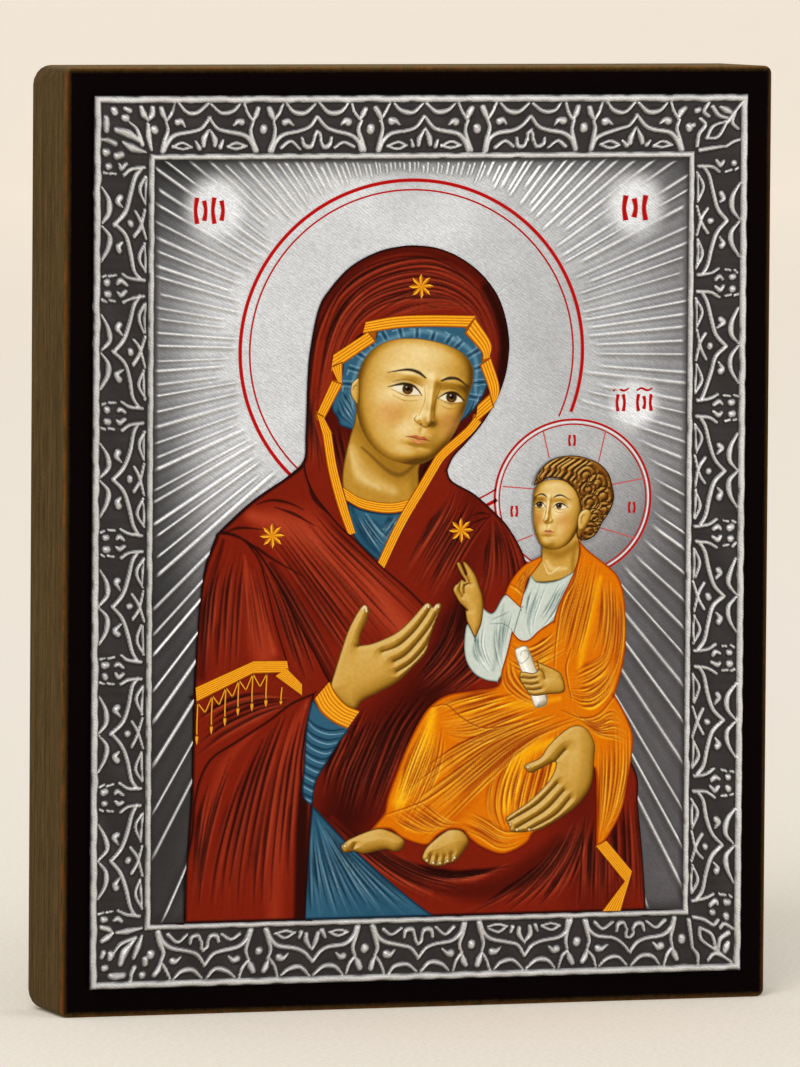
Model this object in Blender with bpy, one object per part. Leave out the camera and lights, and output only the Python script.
"""An icon panel: a thick wooden block that stands on its lower edge, with an embossed silver
cover on its front. The cover has a plain outer rim, a band of ogee arches and leaves, an inner
rim, and a window with rays round two haloes. The picture in the window is flat paint.

Metres, +Z up. The front faces -Y, and the origin is on the underside, midway across the block.
"""

import math

import bmesh
import bpy
from mathutils import Vector
from mathutils.geometry import intersect_line_line_2d

# The wooden block
PANEL_WIDTH = 0.200
PANEL_HEIGHT = 0.250
PANEL_DEPTH = 0.030
FRONT_CORNER_RADIUS = 0.0018  # the four corners, seen from the front
BACK_CORNER_RADIUS = 0.0052  # the same corners at the back, which are more worn
CORNER_SEGMENTS = 5
FRONT_ARRIS = 0.0012  # rounding of the edge round the front
BACK_ARRIS = 0.0040  # rounding of the edge round the back
ARRIS_SEGMENTS = 4
SHARP_ANGLE = 40  # degrees between two faces above which their edge looks sharp

# The silver cover on the front
COVER_MARGIN = 0.0074  # bare front of the block all round the cover
COVER_GAP = 0.0003
COVER_THICKNESS = 0.0006
BAND_WIDTH = 0.017  # from the cover's edge to the window, both rims included
OUTER_RIM_WIDTH = 0.0021
OUTER_RIM_HEIGHT = 0.0011
INNER_RIM_WIDTH = 0.0017
INNER_RIM_HEIGHT = 0.0011
RIM_SLOPE = 0.0004  # how far each side of a rim leans

# The leafwork in the band
ARCHES_ACROSS = 5
ARCHES_UPRIGHT = 6
ARCH_WIDTH = 0.0012
ARCH_HEIGHT = 0.0009
LEAF_WIDTH = 0.0010
LEAF_HEIGHT = 0.0008
BEAD_RADIUS = 0.0011
BEAD_HEIGHT = 0.0007
BEAD_SIDES = 5
TREFOIL_RADIUS = 0.0016
RIDGE_SINK = 0.0002  # how far a ridge's foot goes into the plate, so that it joins it
ARCH_TOP_SHARE = 0.45  # width of an arch's flat top as a share of its foot
NARROWEST_MITRE = 0.45  # a sharper bend in a ridge is cut short, to this share of its mitre

# The rays in the window
RAY_COUNT = 84
RAY_WIDTH = 0.0007
RAY_HEIGHT = 0.0004
RAY_END_GAP = 0.0009  # from a ray's end to the inner rim
SHORTEST_RAY = 0.006
HALO_RADIUS = 0.0477
HALO_PLACE = (0.480, 0.740)  # centre of the large halo, as shares of the window from its lower left
SMALL_HALO_RADIUS = 0.0218
SMALL_HALO_PLACE = (0.785, 0.550)
HALO_CLEARANCE = 0.0045  # plain metal between a halo and the rays
FIGURES_CLEARANCE = 0.0008

# Outline of the painted figures below the haloes, as shares of the window from its lower left
FIGURES_OUTLINE = (
    (0.060, 0.000),
    (0.070, 0.200),
    (0.080, 0.360),
    (0.115, 0.500),
    (0.170, 0.555),
    (0.290, 0.610),
    (0.700, 0.560),
    (0.860, 0.460),
    (0.885, 0.400),
    (0.885, 0.300),
    (0.920, 0.240),
    (0.935, 0.000),
)

# One arch of the band. Along it, -0.5 to 0.5 is one arch; across it, 0 is the inner rim's foot
# and 1 the outer rim's. The other half mirrors these.
HALF_ARCH = ((-0.455, 0.08), (-0.400, 0.33), (-0.240, 0.45), (-0.060, 0.56), (0.0, 0.78))
STEM = ((-0.320, 1.02), (-0.352, 0.74), (-0.415, 0.69), (-0.462, 0.06))
SCALLOP = ((-0.300, 1.02), (-0.235, 0.83), (-0.090, 0.83), (-0.020, 1.02))
INNER_ARC = ((-0.335, 0.12), (-0.245, 0.25), (-0.155, 0.12))
PETAL = ((-0.110, 0.34), (-0.045, 0.13))
BUD = ((0.0, 0.12), (0.0, 0.44))
TREFOIL_PLACE = (-0.285, 0.645)
BEAD_PLACES = ((0.0, 0.52), (-0.058, 0.86), (0.058, 0.86))  # measured from where two arches meet

# The leaves in each corner, as shares of the square between the rims' feet, from the window
CORNER_STEM = ((0.10, 0.10), (0.88, 0.88))
CORNER_LEAVES = (
    ((0.30, 0.50), (0.42, 0.78), (0.64, 0.93)),
    ((0.52, 0.68), (0.72, 0.86)),
)


def cover_size():
    """Half the cover's width and height."""
    return (PANEL_WIDTH / 2 - COVER_MARGIN, PANEL_HEIGHT / 2 - COVER_MARGIN)


def window_size():
    """Half the window's width and height."""
    half_width, half_height = cover_size()
    return (half_width - BAND_WIDTH, half_height - BAND_WIDTH)


def cover_back():
    return -PANEL_DEPTH / 2 - COVER_GAP


def cover_ground():
    """How far forward the cover's plain metal lies, between its ridges."""
    return cover_back() - COVER_THICKNESS


def on_cover(x, z, y):
    """A point on the cover from its place across and up from the cover's middle."""
    return Vector((x, y, PANEL_HEIGHT / 2 + z))


def window_point(place):
    """A place in shares of the window as metres from the cover's middle."""
    half_width, half_height = window_size()
    return Vector(((place[0] * 2 - 1) * half_width, (place[1] * 2 - 1) * half_height))


def clear_scene():
    for scene_object in list(bpy.data.objects):
        bpy.data.objects.remove(scene_object, do_unlink=True)


def material(name, colour, roughness, metallic):
    made = bpy.data.materials.new(name)
    made.use_nodes = True
    shader = made.node_tree.nodes["Principled BSDF"]
    shader.inputs["Base Color"].default_value = (*colour, 1.0)
    shader.inputs["Roughness"].default_value = roughness
    shader.inputs["Metallic"].default_value = metallic
    made.diffuse_color = (*colour, 1.0)
    return made


def finish_mesh(shape, name, look):
    """Turns a bmesh into a named object with outward faces."""
    bmesh.ops.recalc_face_normals(shape, faces=shape.faces)
    mesh = bpy.data.meshes.new(name)
    shape.to_mesh(mesh)
    shape.free()
    made = bpy.data.objects.new(name, mesh)
    made.data.materials.append(look)
    bpy.context.scene.collection.objects.link(made)
    return made


def rounded_outline(half_width, half_height, radius, segments):
    """Points round a rectangle with round corners, as places across and up from its middle."""
    corners = ((1, 1, 0), (-1, 1, 90), (-1, -1, 180), (1, -1, 270))
    points = []
    for side_x, side_z, first_angle in corners:
        for step in range(segments + 1):
            angle = math.radians(first_angle + 90 * step / segments)
            x = side_x * (half_width - radius) + radius * math.cos(angle)
            z = side_z * (half_height - radius) + radius * math.sin(angle)
            points.append((x, z))
    return points


def join_loops(shape, loops):
    """Closes a solid: a band of faces from each loop of points to the next, and a face on each end."""
    for loop, following in zip(loops, loops[1:]):
        for index, point in enumerate(loop):
            after = (index + 1) % len(loop)
            shape.faces.new((point, loop[after], following[after], following[index]))
    shape.faces.new(loops[0])
    shape.faces.new(loops[-1])


def block_rings():
    """The block from front to back, as outlines: how far in, how far back, and corner radius."""
    rings = []
    quarter = [math.radians(90 * step / ARRIS_SEGMENTS) for step in range(ARRIS_SEGMENTS + 1)]
    for arris, way, angles in ((FRONT_ARRIS, 1, quarter), (BACK_ARRIS, -1, quarter[::-1])):
        for angle in angles:
            inset = arris * (1 - math.sin(angle))
            y = way * (arris * (1 - math.cos(angle)) - PANEL_DEPTH / 2)
            share = y / PANEL_DEPTH + 0.5
            radius = FRONT_CORNER_RADIUS * (1 - share) + BACK_CORNER_RADIUS * share
            rings.append((inset, y, radius))
    return rings


def wood_panel(look):
    """The block: rounded outlines from its front to its back, which round its two edges too."""
    shape = bmesh.new()
    loops = []
    for inset, y, radius in block_rings():
        outline = rounded_outline(
            PANEL_WIDTH / 2 - inset, PANEL_HEIGHT / 2 - inset, radius, CORNER_SEGMENTS
        )
        loops.append([shape.verts.new(on_cover(x, z, y)) for x, z in outline])
    join_loops(shape, loops)
    made = finish_mesh(shape, "wood_panel", look)
    made.data.shade_smooth()
    made.data.set_sharp_from_angle(angle=math.radians(SHARP_ANGLE))
    return made


def cover_plate(look):
    """The cover without its leafwork: rings of four corners, each an inset and a height."""
    half_width, half_height = cover_size()
    inner_rim_edge = BAND_WIDTH - INNER_RIM_WIDTH
    rings = (
        (0.0, -COVER_THICKNESS),
        (0.0, 0.0),
        (RIM_SLOPE / 2, OUTER_RIM_HEIGHT),
        (OUTER_RIM_WIDTH - RIM_SLOPE, OUTER_RIM_HEIGHT),
        (OUTER_RIM_WIDTH, 0.0),
        (inner_rim_edge, 0.0),
        (inner_rim_edge + RIM_SLOPE, INNER_RIM_HEIGHT),
        (BAND_WIDTH - RIM_SLOPE, INNER_RIM_HEIGHT),
        (BAND_WIDTH, 0.0),
    )
    shape = bmesh.new()
    loops = []
    for inset, height in rings:
        x, z = half_width - inset, half_height - inset
        corners = ((-x, -z), (x, -z), (x, z), (-x, z))
        y = cover_ground() - height
        loops.append(
            [shape.verts.new(on_cover(*corner, y)) for corner in corners]
        )
    join_loops(shape, loops)
    return finish_mesh(shape, "silver_cover", look)


def side_normals(points):
    """The mitred sideways step at each point of a flat path, one unit to its left."""
    normals = []
    for index, point in enumerate(points):
        before = (point - points[index - 1]).normalized() if index else None
        last = index == len(points) - 1
        after = None if last else (points[index + 1] - point).normalized()
        along = (before or after) + (after or before)
        along.normalize()
        across = Vector((-along.y, along.x))
        straight = after or before
        widening = max(NARROWEST_MITRE, abs(across.dot(Vector((-straight.y, straight.x)))))
        normals.append(across / widening)
    return normals


def add_ridge(shape, points, width, height, top_share=0.0):
    """A closed bar along a flat path, standing on the plate, with leaning sides.

    Its top is a sharp crest, or flat where top_share says how wide that is."""
    points = [Vector(point) for point in points]
    half_foot = width / 2
    foot_y, top_y = cover_ground() + RIDGE_SINK, cover_ground() - height
    tops = (-half_foot * top_share, half_foot * top_share) if top_share else (0.0,)
    section = [(-half_foot, foot_y), *((top, top_y) for top in tops), (half_foot, foot_y)]
    rings = []
    for point, normal in zip(points, side_normals(points)):
        rings.append(
            [
                shape.verts.new(
                    on_cover(point.x + normal.x * out, point.y + normal.y * out, y)
                )
                for out, y in section
            ]
        )
    join_loops(shape, rings)


def add_boss(shape, centre, radius, height, sides, turn=0.0):
    """A pointed boss on the plate: a cone with few sides."""
    foot_y, top_y = cover_ground() + RIDGE_SINK, cover_ground() - height
    foot = []
    for index in range(sides):
        angle = turn + math.tau * index / sides
        x = centre.x + radius * math.cos(angle)
        z = centre.y + radius * math.sin(angle)
        foot.append(shape.verts.new(on_cover(x, z, foot_y)))
    tip = shape.verts.new(on_cover(centre.x, centre.y, top_y))
    for index in range(sides):
        shape.faces.new((foot[index], foot[(index + 1) % sides], tip))
    shape.faces.new(foot)


def band_sides():
    """Each side of the band: its corner of the window, the ways along and out, length, arches."""
    x, z = window_size()
    return (
        (Vector((-x, z)), Vector((1, 0)), Vector((0, 1)), 2 * x, ARCHES_ACROSS),
        (Vector((x, z)), Vector((0, -1)), Vector((1, 0)), 2 * z, ARCHES_UPRIGHT),
        (Vector((x, -z)), Vector((-1, 0)), Vector((0, -1)), 2 * x, ARCHES_ACROSS),
        (Vector((-x, -z)), Vector((0, 1)), Vector((-1, 0)), 2 * z, ARCHES_UPRIGHT),
    )


def band_depth():
    """Width of the leafwork, between the feet of the two rims."""
    return BAND_WIDTH - OUTER_RIM_WIDTH - INNER_RIM_WIDTH


def mirrored(points):
    return tuple((-u, v) for u, v in points)


def arch_ridges(look):
    """All the ogee arches, each one bar with its point towards the outer rim."""
    shape = bmesh.new()
    arch = HALF_ARCH + mirrored(HALF_ARCH)[-2::-1]
    for corner, along, out, length, count in band_sides():
        pitch = length / count
        for index in range(count):
            middle = corner + along * (index + 0.5) * pitch
            points = [
                middle + along * u * pitch + out * (INNER_RIM_WIDTH + v * band_depth())
                for u, v in arch
            ]
            add_ridge(shape, points, ARCH_WIDTH, ARCH_HEIGHT, ARCH_TOP_SHARE)
    return finish_mesh(shape, "arches_to_join", look)


def leaf_ridges(look):
    """Stems, scallops, inner arcs, petals and beads, one set for each arch and meeting."""
    shape = bmesh.new()
    for corner, along, out, length, count in band_sides():
        pitch = length / count
        for index in range(count):
            middle = corner + along * (index + 0.5) * pitch

            def place(spot):
                u, v = spot
                return middle + along * u * pitch + out * (INNER_RIM_WIDTH + v * band_depth())

            for line in (SCALLOP, INNER_ARC, PETAL):
                for half in (line, mirrored(line)):
                    add_ridge(shape, [place(spot) for spot in half], LEAF_WIDTH, LEAF_HEIGHT)
            add_ridge(shape, [place(spot) for spot in BUD], LEAF_WIDTH, LEAF_HEIGHT)
            facing = math.atan2(out.y, out.x)
            for spot in (TREFOIL_PLACE, *mirrored((TREFOIL_PLACE,))):
                add_boss(shape, place(spot), TREFOIL_RADIUS, BEAD_HEIGHT, 3, facing)
        for index in range(count + 1):
            meeting = corner + along * index * pitch
            for u, v in BEAD_PLACES:
                spot = meeting + along * u * pitch + out * (INNER_RIM_WIDTH + v * band_depth())
                add_boss(shape, spot, BEAD_RADIUS, BEAD_HEIGHT, BEAD_SIDES)
    return finish_mesh(shape, "leaves_to_join", look)


def stem_ridges(look):
    """The pairs of stems where arches meet, the pairs at the corners, and the corner leaves."""
    shape = bmesh.new()
    for corner, along, out, length, count in band_sides():
        pitch = length / count
        for index in range(count + 1):
            meeting = corner + along * index * pitch
            for turn in (1, -1):
                points = [
                    meeting
                    + along * turn * (u + 0.5) * pitch
                    + out * (INNER_RIM_WIDTH + v * band_depth())
                    for u, v in STEM
                ]
                add_ridge(shape, points, LEAF_WIDTH, LEAF_HEIGHT)
        before = -along
        inner = corner + (before + out) * INNER_RIM_WIDTH
        lines = [CORNER_STEM]
        for leaf in CORNER_LEAVES:
            lines += [leaf, tuple((v, u) for u, v in leaf)]
        for line in lines:
            points = [inner + (before * u + out * v) * band_depth() for u, v in line]
            add_ridge(shape, points, LEAF_WIDTH, LEAF_HEIGHT)
    return finish_mesh(shape, "stems_to_join", look)


def circle_exit(start, way, centre, radius):
    """How far along a ray it leaves a circle, or 0 if it misses it."""
    to_centre = centre - start
    along = to_centre.dot(way)
    reach = radius * radius - (to_centre.length_squared - along * along)
    return along + math.sqrt(reach) if reach > 0 else 0.0


def outline_exit(start, way, outline):
    """The furthest point where a ray crosses a closed outline, as a distance along it."""
    far = start + way * (PANEL_WIDTH + PANEL_HEIGHT)
    crossings = [0.0]
    for first, second in zip(outline, outline[1:] + outline[:1]):
        hit = intersect_line_line_2d(start, far, first, second)
        if hit:
            crossings.append((hit - start).length)
    return max(crossings)


def ray_ridges(look):
    """Rays from the large halo's centre, from the haloes and figures out to the inner rim."""
    shape = bmesh.new()
    centre = window_point(HALO_PLACE)
    small_centre = window_point(SMALL_HALO_PLACE)
    figures = [window_point(place) for place in FIGURES_OUTLINE]
    x, z = (half - RAY_END_GAP for half in window_size())
    window = [Vector(corner) for corner in ((-x, -z), (x, -z), (x, z), (-x, z))]
    for index in range(RAY_COUNT):
        angle = math.tau * (index + 0.5) / RAY_COUNT
        way = Vector((math.cos(angle), math.sin(angle)))
        start = max(
            HALO_RADIUS + HALO_CLEARANCE,
            circle_exit(centre, way, small_centre, SMALL_HALO_RADIUS + HALO_CLEARANCE),
            outline_exit(centre, way, figures) + FIGURES_CLEARANCE,
        )
        end = outline_exit(centre, way, window)
        if end - start > SHORTEST_RAY:
            add_ridge(
                shape, (centre + way * start, centre + way * end), RAY_WIDTH, RAY_HEIGHT
            )
    return finish_mesh(shape, "rays_to_join", look)


def join_to(plate, piece):
    """Adds a set of ridges to the plate, so that the cover stays one solid."""
    piece.hide_render = True
    piece.display_type = "WIRE"
    union = plate.modifiers.new(piece.name, "BOOLEAN")
    union.operation = "UNION"
    union.solver = "EXACT"
    union.object = piece


def silver_cover(look):
    plate = cover_plate(look)
    for make in (arch_ridges, leaf_ridges, stem_ridges, ray_ridges):
        join_to(plate, make(look))
    return plate


clear_scene()
wood_panel(material("brown_black_wood", (0.10, 0.062, 0.022), 0.55, 0.0))
silver_cover(material("aged_silver", (0.60, 0.59, 0.60), 0.35, 1.0))
